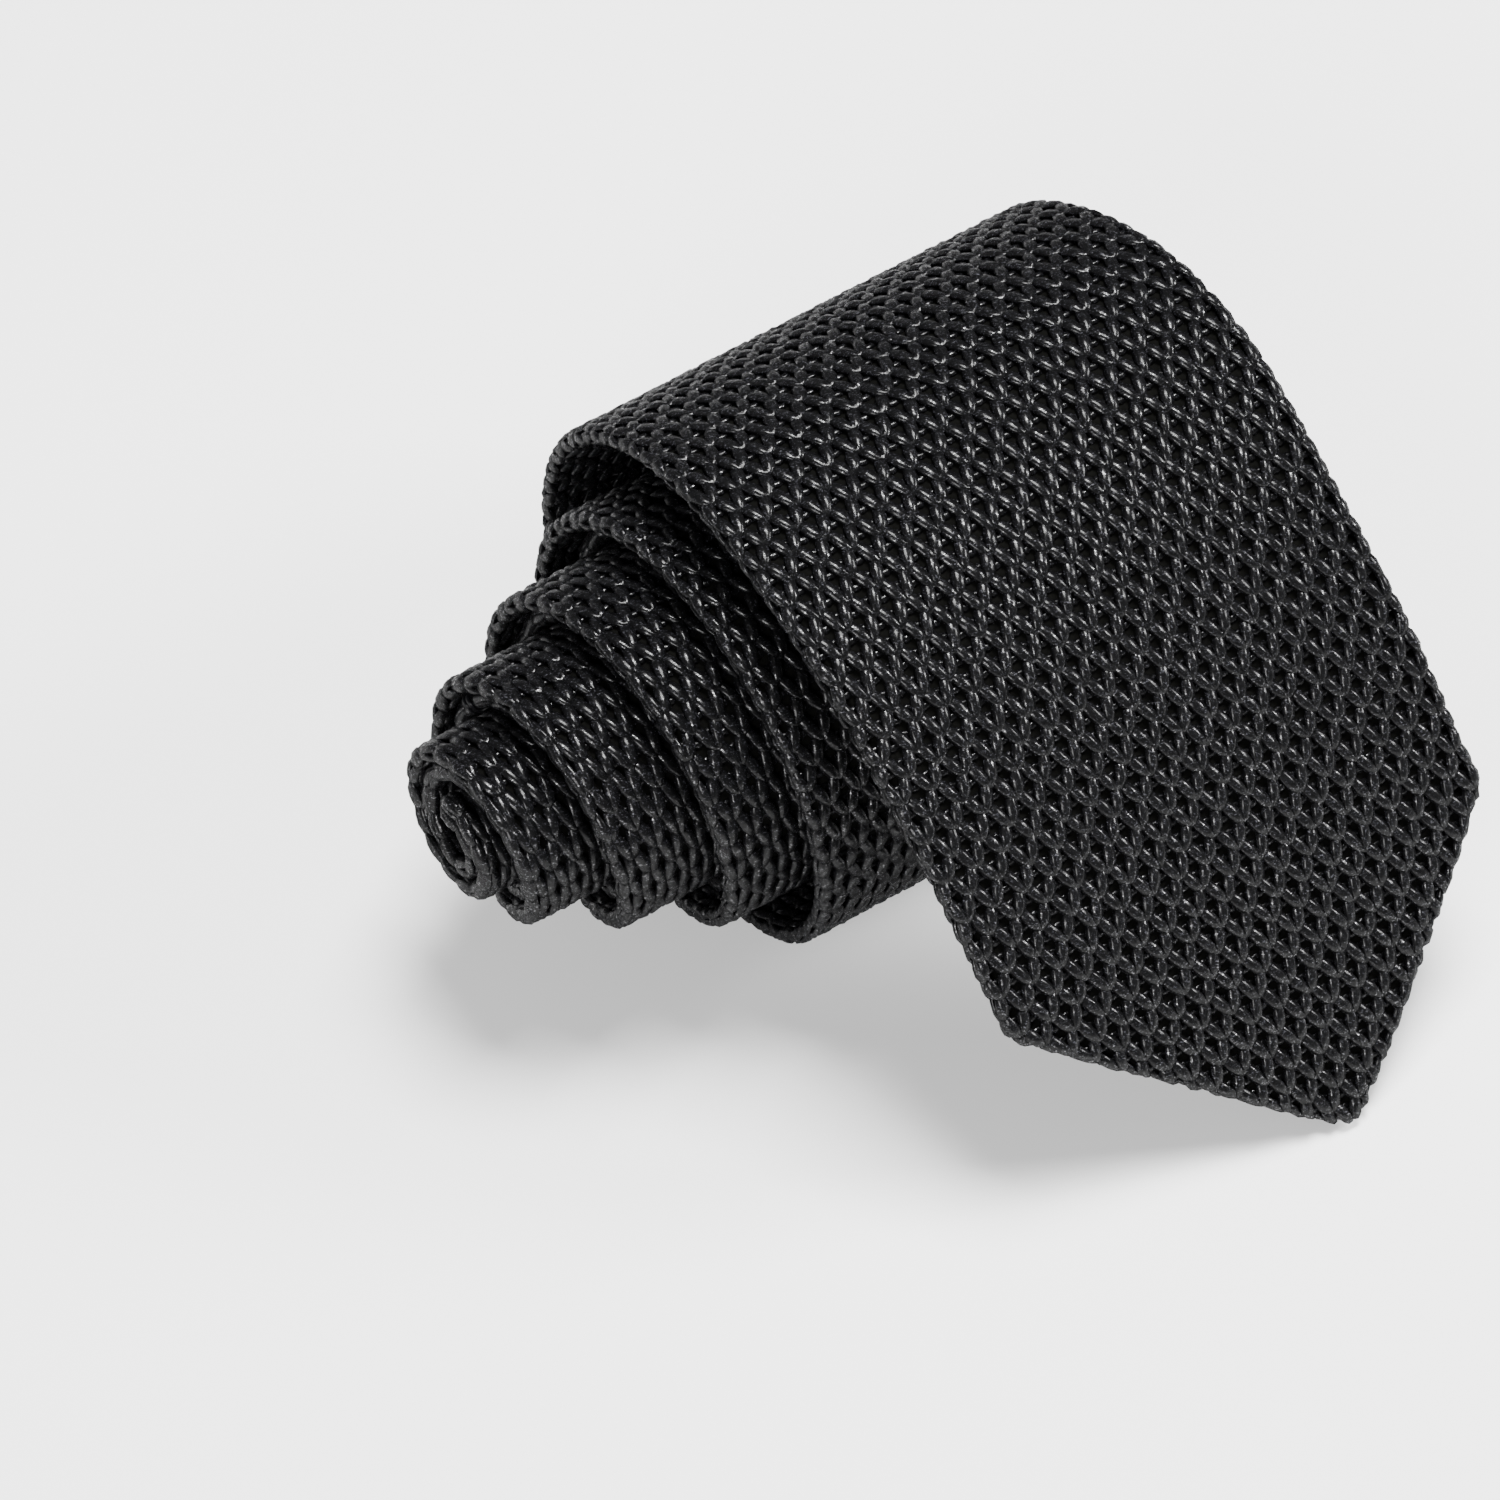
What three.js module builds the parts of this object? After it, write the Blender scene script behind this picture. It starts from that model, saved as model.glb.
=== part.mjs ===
// A knitted necktie with a pointed blade, folded in half at the neck and rolled up from the fold.
// The blade half lies outside the tail half in the roll, leaves it over the top and arches down
// in front until its tip touches the table. All lengths are in millimetres, +Z is up, X is the
// roll's axis and the blade runs towards -Y.
import * as THREE from 'three';

// Driving dimensions
const blade_width = 65;          // widest part of the blade, at the shoulders of its point
const neck_width = 39;           // narrowest part, inside the roll
const tail_width = 47;           // widest part of the narrow end
const tip_length = 31;           // from the blade's shoulders to its point
const tail_tip_length = 22;      // from the tail's shoulders to its point
const tie_edge = 1.2;            // half width left at the very point of either end

const knit_wall = 0.55;          // knitted cloth, pressed flat
const interlining_wall = 0.5;    // woven wool interlining
const clearance = 0.3;           // between any two cloths that lie on each other
const hem = 13;                  // knit turned over behind the blade's point
const tail_hem = 8;              // the same behind the tail's point
const back_gap = 1.0;            // half the gap between the two edges on the centre back
const thread = 0.6;              // slip stitch and seam thread

const crest_radius = 35.8;       // outside of the roll where the blade leaves it
const roll_turns = 5;            // from the crest to the fold at the neck
const turn_slack = 0;            // air between two turns, besides their clearance
const looseness = 4.6;           // how far the outer turns stand off the inner ones
const loose_turns = 0.45;        // over how many turns that dies away
const tail_end_turn = 0.78;      // where the tail's point lies, counted from the crest
const telescope = 33;            // how far the core stands out of the roll's left end
const telescope_turns = 4.6;     // over how many turns it is pushed out

const drop_reach = 70;           // from the crest forward to the tip
const drop_bulge = 27;           // how far the blade runs level before it bends down
const drop_steep = 20;           // reach of the last, steep stretch
const drop_rise = 34;            // height of the last, steep stretch
const drop_veer = 9.8;           // sideways, because the tie is not rolled quite square

const keeper_turn = 0.44;        // place of the keeper loop on the blade's back
const keeper_span = 30;
const keeper_foot = 4;           // sewn down at each end of the loop
const keeper_band = 8;
const keeper_rise = 1.5;         // room for the tail to pass under it
const label_turn = 0.34;
const label_span = 24;
const label_length = 12;
const seam_length = 1.2;         // along the tie
const blade_seam_turn = 2.9;     // seam from the blade to the neck piece, on the outer layer
const tail_seam_turn = 3.4;      // seam from the neck piece to the tail, on the inner layer
const tack_width = 7;
const tack_length = 1.6;
const tack_inset = 3;            // from the blade's shoulders up to its bar tack

const segments_per_turn = 16;
const drop_segments = 9;
const tip_segments = 5;
const fold_segments = 4;

// Derived sizes
const layer = 2 * knit_wall + interlining_wall + 2 * clearance;
const layer_step = layer + clearance;
const turn_pitch = 2 * layer_step + turn_slack;
const station_angle = 360 / segments_per_turn;
const radians = Math.PI / 180;

// The roll: an angle of 0 is the crest, 90 the back, 180 the table and 270 the front.
function spiral_radius(turn) {
  const slack = looseness * (1 - Math.exp(-turn / loose_turns));
  return crest_radius - turn_pitch * turn - slack;
}
const flat_edge = 0.5 + 0.5 / segments_per_turn;
const axis_height = spiral_radius(flat_edge) * Math.cos(station_angle / 2 * radians);

function outer_radius(turn) {
  const down = -Math.cos(turn * 360 * radians);
  const free = spiral_radius(turn);
  return turn < 1 && down > 0 ? Math.min(free, axis_height / down) : free;
}

// All layers turn at the same angles, so that their flats stay parallel. A place between two of
// those angles lies on the flat between them.
function corner_of_roll(turn) {
  const angle = turn * 360 * radians;
  const out = new THREE.Vector2(Math.sin(angle), Math.cos(angle));
  return { point: out.clone().multiplyScalar(outer_radius(turn)), out };
}

function place_on_roll(turn) {
  const step = Math.floor(turn * segments_per_turn + 0.5);
  const from = Math.max((step - 0.5) / segments_per_turn, 0);
  const to = (step + 0.5) / segments_per_turn;
  const share = (turn - from) / (to - from);
  const [before, after] = [corner_of_roll(from), corner_of_roll(to)];
  return {
    point: before.point.lerp(after.point, share),
    out: before.out.lerp(after.out, share),
  };
}

// A station is one cross-section of the tie: a point on its knitted face, the direction the face
// looks in, the middle of the tie along X and its half width.
function roll_station(turn, depth, half_width) {
  const { point, out } = place_on_roll(turn);
  point.addScaledVector(out, -depth);
  point.y += axis_height;
  return { point, out, centre: roll_centre(turn), half_width };
}

// The free blade leaves the crest level and ends with the back of its point on the table.
const point_height = layer * Math.cos(Math.atan2(drop_rise, drop_steep));
const drop_curve = new THREE.CubicBezierCurve(
  new THREE.Vector2(0, axis_height + crest_radius),
  new THREE.Vector2(-drop_bulge, axis_height + crest_radius),
  new THREE.Vector2(-drop_reach + drop_steep, point_height + drop_rise),
  new THREE.Vector2(-drop_reach, point_height));
const drop_length = drop_curve.getLength();

const roll_length = turn_arc(0, roll_turns);

function turn_arc(from, to) {
  const steps = 400;
  let arc = 0;
  for (let i = 0; i < steps; i++) {
    arc += spiral_radius(from + (i + 0.5) / steps * (to - from));
  }
  return arc * (to - from) / steps * 2 * Math.PI;
}

// Width of the blade half, from its shoulders to the neck
function blade_half(from_tip) {
  const share = (from_tip - tip_length) / (drop_length + roll_length - tip_length);
  return (blade_width + (neck_width - blade_width) * Math.max(share, 0)) / 2;
}

function tail_half(turn) {
  const share = (roll_turns - turn) / (roll_turns - tail_end_turn);
  return (neck_width + (tail_width - neck_width) * share) / 2;
}

function blade_half_at(turn) {
  return blade_half(drop_length + turn_arc(0, turn));
}

function roll_centre(turn) {
  const share = Math.min(turn / telescope_turns, 1);
  const pushed = telescope * share * share * (3 - 2 * share);
  return blade_half_at(turn) - blade_width / 2 - pushed;
}

function drop_station(along) {
  const share = along / drop_length;
  const point = drop_curve.getPointAt(share);
  const tangent = drop_curve.getTangentAt(share);
  const from_tip = drop_length - along;
  const half_point = tie_edge + (blade_width / 2 - tie_edge) * from_tip / tip_length;
  const crest_centre = roll_centre(0);
  return {
    point,
    out: new THREE.Vector2(tangent.y, -tangent.x),
    centre: crest_centre + drop_veer * share ** 1.3,
    half_width: Math.min(blade_half(from_tip), half_point),
  };
}

// Half the opening that the turned edges leave behind a point
function hem_edge(half_width, hem_width) {
  return Math.max(half_width - hem_width, back_gap);
}

// Lists of stations
const shoulder = drop_length - tip_length;

function drop_run(from, to, count) {
  const run = [];
  for (let i = 0; i <= count; i++) {
    run.push(drop_station(from + (to - from) * i / count));
  }
  return run.reverse();
}

// Turns between two places on the roll, at the angles that every layer shares
function turns_between(from, to) {
  const turns = [from];
  const first = Math.ceil(from * segments_per_turn - 0.5 + 0.02);
  for (let i = first; (i + 0.5) / segments_per_turn < to - 0.02 / segments_per_turn; i++) {
    turns.push((i + 0.5) / segments_per_turn);
  }
  turns.push(to);
  return turns;
}

function blade_run(from, to) {
  return turns_between(from, to).map((turn) => roll_station(turn, 0, blade_half_at(turn)));
}

// The tail's face looks at the core, so its back lies against the blade's back. The hem of its
// point opens over the last part of the way to the shoulders.
const tail_tip_turns = tail_tip_length / (2 * Math.PI * (spiral_radius(tail_end_turn) - 2 * layer));
const tail_open_share = 0.7;
const tail_lining_share = 0.45;

function tail_station(turn) {
  const station = roll_station(turn, layer_step + layer, tail_half(turn));
  station.out.negate();
  const share = Math.max((turn - tail_end_turn) / tail_tip_turns, 0);
  if (share < 1) {
    const point_half = (along) => tie_edge + (tail_width / 2 - tie_edge) * along;
    const open = hem_edge(point_half(Math.min(share, tail_open_share)), tail_hem);
    const closing = Math.max((share - tail_open_share) / (1 - tail_open_share), 0);
    station.half_width = Math.min(station.half_width, point_half(share));
    station.edge = open + (back_gap - open) * closing;
  }
  return station;
}

function tail_run(from, to) {
  return turns_between(to, from).map(tail_station).reverse();
}

// The fold at the neck: half a turn from the outer layer to the inner one
function fold_run() {
  const { point: face, out: radial } = place_on_roll(roll_turns);
  radial.normalize();
  const onward = new THREE.Vector2(radial.y, -radial.x);
  const reach = layer + clearance / 2;
  const middle = face.addScaledVector(radial, -reach);
  const run = [];
  for (let i = 1; i < fold_segments; i++) {
    const turned = Math.PI * i / fold_segments;
    const out = radial.clone().multiplyScalar(Math.cos(turned))
      .addScaledVector(onward, Math.sin(turned));
    const point = middle.clone().addScaledVector(out, reach);
    point.y += axis_height;
    run.push({ point, out, centre: roll_centre(roll_turns), half_width: neck_width / 2 });
  }
  return run;
}

// A sweep joins one outline per station. An outline's points are [across, depth], with depth
// counted from the knitted face inwards.
function sweep(stations, outline) {
  const rings = stations.map((station) => outline(station).map(([across, depth]) =>
    new THREE.Vector3(
      station.centre + across,
      station.point.x - station.out.x * depth,
      station.point.y - station.out.y * depth)));
  const size = rings[0].length;
  const positions = rings.flat().flatMap((corner) => [corner.x, corner.y, corner.z]);
  const triangles = [];
  for (let i = 0; i + 1 < rings.length; i++) {
    for (let j = 0; j < size; j++) {
      const a = i * size + j;
      const b = i * size + (j + 1) % size;
      triangles.push(a, b, a + size, b, b + size, a + size);
    }
  }
  const last = (rings.length - 1) * size;
  const flat = (station) => outline(station).map(([x, y]) => new THREE.Vector2(x, y));
  for (const [a, b, c] of cap(flat(stations[0]))) {
    triangles.push(a, c, b);
  }
  for (const [a, b, c] of cap(flat(stations[stations.length - 1]))) {
    triangles.push(last + a, last + b, last + c);
  }
  const geometry = new THREE.BufferGeometry();
  geometry.setAttribute('position', new THREE.Float32BufferAttribute(positions, 3));
  geometry.setIndex(triangles);
  geometry.computeVertexNormals();
  return geometry;
}

function cap(outline) {
  return THREE.ShapeUtils.triangulateShape(outline, []);
}

// The knit goes round both edges and ends at the middle of the back, or at the hem's edge.
function knit_outline(station) {
  const w = station.half_width;
  const inner = Math.max(w - knit_wall, 0.5 * w);
  const open = Math.min(station.edge ?? back_gap, Math.max(inner - knit_wall, 0.6 * inner));
  return [
    [-w, 0], [w, 0], [w, layer], [open, layer], [open, layer - knit_wall],
    [inner, layer - knit_wall], [inner, knit_wall], [-inner, knit_wall],
    [-inner, layer - knit_wall], [-open, layer - knit_wall], [-open, layer], [-w, layer],
  ];
}

// A flat strip with its middle `offset` from the middle of the tie
function strip_outline(offset, half, top, bottom) {
  return (station) => {
    const middle = offset(station);
    const w = half(station);
    return [[middle - w, top], [middle + w, top], [middle + w, bottom], [middle - w, bottom]];
  };
}

function centred(half, top, bottom) {
  return strip_outline(() => 0, () => half, top, bottom);
}

const back_top = layer - knit_wall;
const behind = layer + clearance;
const slip_stitch_outline = centred(thread / 2, back_top, layer);
const tack_outline = centred(tack_width / 2, behind, behind + thread);
const interlining_top = knit_wall + clearance;
const interlining_outline = strip_outline(
  () => 0, (station) => station.half_width - knit_wall - clearance,
  interlining_top, interlining_top + interlining_wall);

// The lining behind a point fills the opening of the hem, and a stitch runs along each side.
function lining_outline(hem_width) {
  const half = (station) => hem_edge(station.half_width, hem_width) - 2 * clearance - thread;
  return strip_outline(() => 0, half, back_top, layer);
}

function hem_stitch_outline(side, hem_width) {
  const inset = clearance + thread / 2;
  const middle = (station) => side * (hem_edge(station.half_width, hem_width) - inset);
  return strip_outline(middle, () => thread / 2, back_top, layer);
}

// Materials
const colours = {
  knit: { color: 0x17181b, roughness: 0.92 },
  lining: { color: 0x202226, roughness: 0.6 },
  interlining: { color: 0x8c867b, roughness: 0.95 },
  thread: { color: 0x101114, roughness: 0.8 },
  label: { color: 0x2a2c31, roughness: 0.7 },
};

const tie = new THREE.Group();

function add(name, finish, geometry) {
  const material = new THREE.MeshStandardMaterial({ ...colours[finish], metalness: 0 });
  const mesh = new THREE.Mesh(geometry, material);
  mesh.name = name;
  tie.add(mesh);
}

const sides = [[-1, 'left'], [1, 'right']];

// The blade's point: knit turned over all round, with a lining in the opening it leaves
const tip_from = shoulder + clearance / 2;
const tip_stations = drop_run(tip_from, drop_length, tip_segments).map((station) => (
  { ...station, edge: hem_edge(station.half_width, hem) }));
add('tip_knit', 'knit', sweep(tip_stations, knit_outline));
add('tip_interlining', 'interlining', sweep(
  drop_run(tip_from, drop_length - 3 * tie_edge, tip_segments), interlining_outline));
const lining_stations = drop_run(tip_from, drop_length - 1.35 * hem, tip_segments);
add('tip_lining', 'lining', sweep(lining_stations, lining_outline(hem)));
for (const [side, name] of sides) {
  add(`tip_stitches_${name}`, 'thread', sweep(lining_stations, hem_stitch_outline(side, hem)));
}

// The free part of the blade, from the crest of the roll to the shoulders
const drop_from = clearance / 2;
const drop_to = shoulder - clearance / 2;
const drop_stations = drop_run(drop_from, drop_to, drop_segments);
add('blade_knit', 'knit', sweep(drop_stations, knit_outline));
add('blade_interlining', 'interlining', sweep(drop_stations, interlining_outline));
const tack_from = drop_to - tack_inset - tack_length;
add('blade_slip_stitch', 'thread', sweep(drop_stations, slip_stitch_outline));
add('blade_bar_tack', 'thread', sweep(
  drop_run(tack_from, tack_from + tack_length, 1), tack_outline));

// The blade in the roll, the neck piece round the fold, and the tail
function turns_of(length, turn, depth) {
  return length / (2 * Math.PI * (outer_radius(turn) - depth));
}

const crest_gap = turns_of(clearance / 2, 0, 0);
const blade_seam_gap = turns_of(clearance, blade_seam_turn, layer);
const neck_from = blade_seam_turn + 2 * blade_seam_gap
  + turns_of(seam_length, blade_seam_turn, layer);
const tail_seam_gap = turns_of(clearance, tail_seam_turn, 2 * layer);
const tail_from = tail_seam_turn - 2 * tail_seam_gap
  - turns_of(seam_length, tail_seam_turn, 2 * layer);
const tail_shoulder = tail_end_turn + tail_tip_turns;

add('rolled_blade_knit', 'knit', sweep(blade_run(crest_gap, blade_seam_turn), knit_outline));
add('blade_neck_seam', 'thread', sweep(
  blade_run(blade_seam_turn + blade_seam_gap, neck_from - blade_seam_gap), knit_outline));
const to_fold = [...blade_run(neck_from, roll_turns), ...fold_run()];
add('neck_knit', 'knit', sweep(
  [...to_fold, ...tail_run(roll_turns, tail_seam_turn)], knit_outline));
add('neck_tail_seam', 'thread', sweep(
  tail_run(tail_seam_turn - tail_seam_gap, tail_from + tail_seam_gap), knit_outline));
const tail_open = tail_end_turn + tail_open_share * tail_tip_turns;
const to_point = [
  ...tail_run(tail_from, tail_shoulder),
  ...tail_run(tail_shoulder, tail_open).slice(1),
  ...tail_run(tail_open, tail_end_turn).slice(1)];
add('tail_knit', 'knit', sweep(to_point, knit_outline));

const whole_roll = [
  ...blade_run(crest_gap, roll_turns), ...fold_run(), ...tail_run(roll_turns, tail_shoulder)];
add('rolled_interlining', 'interlining', sweep(whole_roll, interlining_outline));
add('rolled_slip_stitch', 'thread', sweep(whole_roll, slip_stitch_outline));
const tail_lining_end = tail_end_turn + tail_lining_share * tail_tip_turns;
add('tail_lining', 'lining', sweep(
  tail_run(tail_open, tail_lining_end), lining_outline(tail_hem)));
const tail_tack = tail_shoulder - turns_of(tack_length / 2, tail_shoulder, 2 * layer);
add('tail_bar_tack', 'thread', sweep(
  tail_run(tail_tack, tail_tack - turns_of(tack_length, tail_tack, 2 * layer)),
  strip_outline(() => 0, (station) => station.edge - clearance, back_top, layer)));

// Keeper loop and blank label on the blade's back
function band_on_back(turn, length) {
  const half = turns_of(length / 2, turn, 0);
  return blade_run(turn - half, turn + half);
}

add('keeper_loop', 'knit', sweep(band_on_back(keeper_turn, keeper_band), () => {
  const half = keeper_span / 2;
  const foot = half - keeper_foot;
  const side = foot - keeper_rise;
  const arch = behind + keeper_rise;
  return [
    [-half, behind], [-foot, behind], [-side, arch], [side, arch], [foot, behind],
    [half, behind], [half, behind + thread], [foot, behind + thread], [side, arch + thread],
    [-side, arch + thread], [-foot, behind + thread], [-half, behind + thread],
  ];
}));
for (const [side, name] of sides) {
  const over_foot = behind + thread + clearance;
  const middle = side * (keeper_span - keeper_foot) / 2;
  add(`keeper_stitch_${name}`, 'thread', sweep(
    band_on_back(keeper_turn, keeper_band - 2 * thread),
    strip_outline(() => middle, () => thread / 2, over_foot, over_foot + thread)));
}
add('blank_label', 'label', sweep(
  band_on_back(label_turn, label_length), centred(label_span / 2, behind, behind + thread)));

// The origin is the middle of the footprint, on the table.
const box = new THREE.Box3().setFromObject(tie);
tie.position.set(-(box.min.x + box.max.x) / 2, -(box.min.y + box.max.y) / 2, -box.min.z);

export default tie;
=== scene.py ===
import math

import bmesh
import bpy
import numpy as np
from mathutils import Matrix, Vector


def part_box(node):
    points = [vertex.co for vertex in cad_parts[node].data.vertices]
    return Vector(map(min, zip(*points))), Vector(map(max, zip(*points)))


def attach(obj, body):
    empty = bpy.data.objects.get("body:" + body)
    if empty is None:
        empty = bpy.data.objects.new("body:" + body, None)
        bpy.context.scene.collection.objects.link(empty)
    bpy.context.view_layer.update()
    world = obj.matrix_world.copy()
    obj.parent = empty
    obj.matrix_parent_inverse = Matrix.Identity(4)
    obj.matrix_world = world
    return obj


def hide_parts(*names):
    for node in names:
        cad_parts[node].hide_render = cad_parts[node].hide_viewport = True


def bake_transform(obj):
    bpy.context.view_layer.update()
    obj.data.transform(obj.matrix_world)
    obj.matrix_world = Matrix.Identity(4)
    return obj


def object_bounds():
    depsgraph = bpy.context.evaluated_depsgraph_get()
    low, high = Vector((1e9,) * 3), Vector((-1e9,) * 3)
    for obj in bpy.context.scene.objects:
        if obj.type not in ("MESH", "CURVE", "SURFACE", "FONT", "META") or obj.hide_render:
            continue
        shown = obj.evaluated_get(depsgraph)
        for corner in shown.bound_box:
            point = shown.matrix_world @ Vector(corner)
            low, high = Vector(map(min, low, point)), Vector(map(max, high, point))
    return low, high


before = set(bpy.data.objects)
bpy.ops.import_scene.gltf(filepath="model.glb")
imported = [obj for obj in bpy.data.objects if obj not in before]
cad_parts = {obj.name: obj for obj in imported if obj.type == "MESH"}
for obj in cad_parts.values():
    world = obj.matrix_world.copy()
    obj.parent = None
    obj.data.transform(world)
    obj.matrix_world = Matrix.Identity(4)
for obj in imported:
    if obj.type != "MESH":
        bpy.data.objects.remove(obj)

cad_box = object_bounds()


# ---------------------------------------------------------------------------------------------
# Camera. A long lens, looking down on the roll from its left front, so that the blade runs to
# the lower right and the rolled-up core stands out on the left.
camera_azimuth = math.radians(-33.4)
camera_elevation = math.radians(53.1)
camera_distance = 0.9
lens_for_view = 194.3
look_right = 0.0199          # the tie lies right of the middle of the view
look_height = 0.0287

back = Vector((
    math.sin(camera_azimuth) * math.cos(camera_elevation),
    -math.cos(camera_azimuth) * math.cos(camera_elevation),
    math.sin(camera_elevation)))
rightwards = Vector((math.cos(camera_azimuth), math.sin(camera_azimuth), 0))
camera = bpy.data.objects.new("camera", bpy.data.cameras.new("camera"))
bpy.context.scene.collection.objects.link(camera)
camera.data.lens = lens_for_view
camera.data.sensor_width = 36
camera.location = Vector((0, 0, look_height)) - rightwards * look_right + back * camera_distance
camera.rotation_mode = "QUATERNION"
camera.rotation_quaternion = (-back).to_track_quat("-Z", "Y")
camera.data.clip_start, camera.data.clip_end = 0.05, 10
bpy.context.scene.camera = camera


# ---------------------------------------------------------------------------------------------
# Interlining. One length of soft felted wool runs inside the knit from point to point and gives
# the tie its body. It is cut here where the free blade bends. The path it lies on is the whole
# tie's: the point on the table, the arch to the crest, five turns in, the fold and the way out.
blade_width = 0.065
neck_width = 0.039
tail_width = 0.047
tip_length = 0.031
tail_tip_length = 0.022
point_rounding = 0.0012      # how blunt the two points are
layer = 0.0022               # thickness of the made-up tie in the roll
clearance = 0.0003           # between two layers
turn_pitch = 2 * (layer + clearance)
crest_radius = 0.0358
looseness = 0.0046           # how far the outer turns stand off the inner ones
loose_turns = 0.45           # over how many turns that dies away
roll_turns = 5.0             # from the crest to the fold
tail_end_turn = 0.78         # where the tail's point lies
telescope = 0.033            # how far the core is pushed out sideways
telescope_turns = 4.6
drop_reach = 0.0712          # from the crest forward to the point on the table
drop_bulge = 0.027           # how far the blade runs level before it bends down
drop_steep = 0.020           # reach and rise of the last, steep stretch
drop_rise = 0.034
drop_veer = 0.0098           # sideways, because the tie is not rolled quite square
flat_turn = 0.53125          # where the outer turn leaves the table
resting_half = math.radians(11.25)    # half the angle over which it is pressed flat there


def spiral_radius(turn):
    """Radius of the blade's outer face, where it isn't pressed on the table."""
    slack = looseness * (1 - np.exp(-turn / loose_turns))
    return crest_radius - turn_pitch * turn - slack


axis_height = spiral_radius(flat_turn) * math.cos(resting_half)
crest_height = axis_height + crest_radius


def roll_places(turns, depth, side):
    """Points (y, z) of a layer `depth` below the blade's face, and which way its face looks:
    `side` is 1 for outwards and -1 for inwards."""
    angle = 2 * np.pi * turns
    down = np.maximum(-np.cos(angle), 1e-6)
    pressed = np.where(turns < 1, axis_height / down, np.inf)
    radius = np.minimum(spiral_radius(turns), pressed) - depth
    out = np.stack([np.sin(angle), np.cos(angle)], axis=1)
    return out * radius[:, None] + [0, axis_height], out * side


def drop_places(count):
    """The free blade, from its point up to the crest: one curve with four handles."""
    point_height = layer * math.cos(math.atan2(drop_rise, drop_steep))
    corners = np.array([
        [0, crest_height], [-drop_bulge, crest_height],
        [-drop_reach + drop_steep, point_height + drop_rise], [-drop_reach, point_height]])
    t = np.linspace(1, 0, count)[:, None]
    weights = np.hstack([(1 - t) ** 3, 3 * t * (1 - t) ** 2, 3 * t * t * (1 - t), t ** 3])
    slopes = np.hstack([
        -3 * (1 - t) ** 2, 3 * (1 - t) ** 2 - 6 * t * (1 - t), 6 * t * (1 - t) - 3 * t * t,
        3 * t * t])
    along = slopes @ corners
    along /= np.linalg.norm(along, axis=1)[:, None]
    return weights @ corners, np.stack([along[:, 1], -along[:, 0]], axis=1)


def fold_places(count):
    """The half circle in which the tie turns back on itself at the neck."""
    end, out = roll_places(np.array([roll_turns]), 0, 1)
    radial, onward = out[0], np.array([out[0][1], -out[0][0]])
    reach = layer + clearance / 2
    turned = np.linspace(0, np.pi, count + 2)[1:-1, None]
    out = np.cos(turned) * radial + np.sin(turned) * onward
    return end[0] - radial * reach + out * reach, out


drop_points, drop_out = drop_places(300)
blade_turns = np.linspace(0, roll_turns, 2400)[1:]
blade_points, blade_out = roll_places(blade_turns, 0, 1)
fold_points, fold_out = fold_places(24)
tail_turns = np.linspace(roll_turns, tail_end_turn, 1800)
tail_points, tail_out = roll_places(tail_turns, 2 * layer + clearance, -1)
path_face = np.concatenate([drop_points, blade_points, fold_points, tail_points])
path_out = np.concatenate([drop_out, blade_out, fold_out, tail_out])
middle_line = path_face - path_out * layer / 2
steps = np.linalg.norm(np.diff(middle_line, axis=0), axis=1)
path_length = np.concatenate([[0], np.cumsum(steps)])
blade_count = len(drop_points) + len(blade_points)
crest_at = path_length[len(drop_points) - 1]
fold_at = path_length[blade_count - 1]
tail_from = path_length[len(path_face) - len(tail_points)]
tie_length = path_length[-1]


def blunt_point(distance, half, length):
    """Half width of a blunt point, `distance` from its end."""
    slope = half / length
    return slope * np.sqrt(distance ** 2 + 2 * point_rounding * distance)


blade_taper = blade_width + (neck_width - blade_width) * (
    np.clip(path_length - tip_length, 0, None) / (fold_at - tip_length))
tail_taper = neck_width + (tail_width - neck_width) * (
    (path_length - fold_at) / (tie_length - fold_at))
path_half = np.where(path_length < fold_at, blade_taper, tail_taper) / 2
path_half = np.minimum(path_half, blunt_point(path_length, blade_width / 2, tip_length))
path_half = np.minimum(
    path_half, blunt_point(tie_length - path_length, tail_width / 2, tail_tip_length))

# The right edge swings out a little below the crest and in again at the shoulder.
swings = ((0.091, 0.019, 0.0020), (0.033, 0.012, -0.0011))    # station, spread and reach
swing = sum(reach * np.exp(-((path_length - station) / spread) ** 2)
            for station, spread, reach in swings)
path_half += swing / 2

path_turn = np.concatenate([
    np.zeros(len(drop_points)), blade_turns, np.full(len(fold_points), roll_turns), tail_turns])
pushed = np.minimum(path_turn / telescope_turns, 1)
blade_half = np.interp(path_turn, path_turn[:blade_count], blade_taper[:blade_count] / 2)
crest_share = np.clip(1 - path_length / crest_at, 0, 1)
path_centre = (
    np.where(path_turn > 0, blade_half, blade_taper[len(drop_points)] / 2) - blade_width / 2
    - telescope * pushed ** 2 * (3 - 2 * pushed) + drop_veer * crest_share ** 1.3)
path_centre += swing / 2

# The path starts from the crest's middle, and the part's frame from the middle of its box.
path_centre += cad_box[0].x - np.min(path_centre - path_half)
path_face[:, 0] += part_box("blade_knit")[1][1] + clearance / 2


def at(station, values):
    """What a list along the path says at a station, the distance from the blade's point."""
    return np.interp(station, path_length, values)


def place(station, sideways, depth):
    """Points on the tie: `sideways` from its middle and `depth` below the knitted face."""
    x = at(station, path_centre) + sideways
    y = at(station, path_face[:, 0]) - at(station, path_out[:, 0]) * depth
    z = at(station, path_face[:, 1]) - at(station, path_out[:, 1]) * depth
    return np.stack([x, y, z], axis=1)


def edge_radius(half):
    """Half the tie's thickness, or less at the very points, where the tie is narrower."""
    return np.minimum(layer / 2, 0.8 * half)


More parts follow.
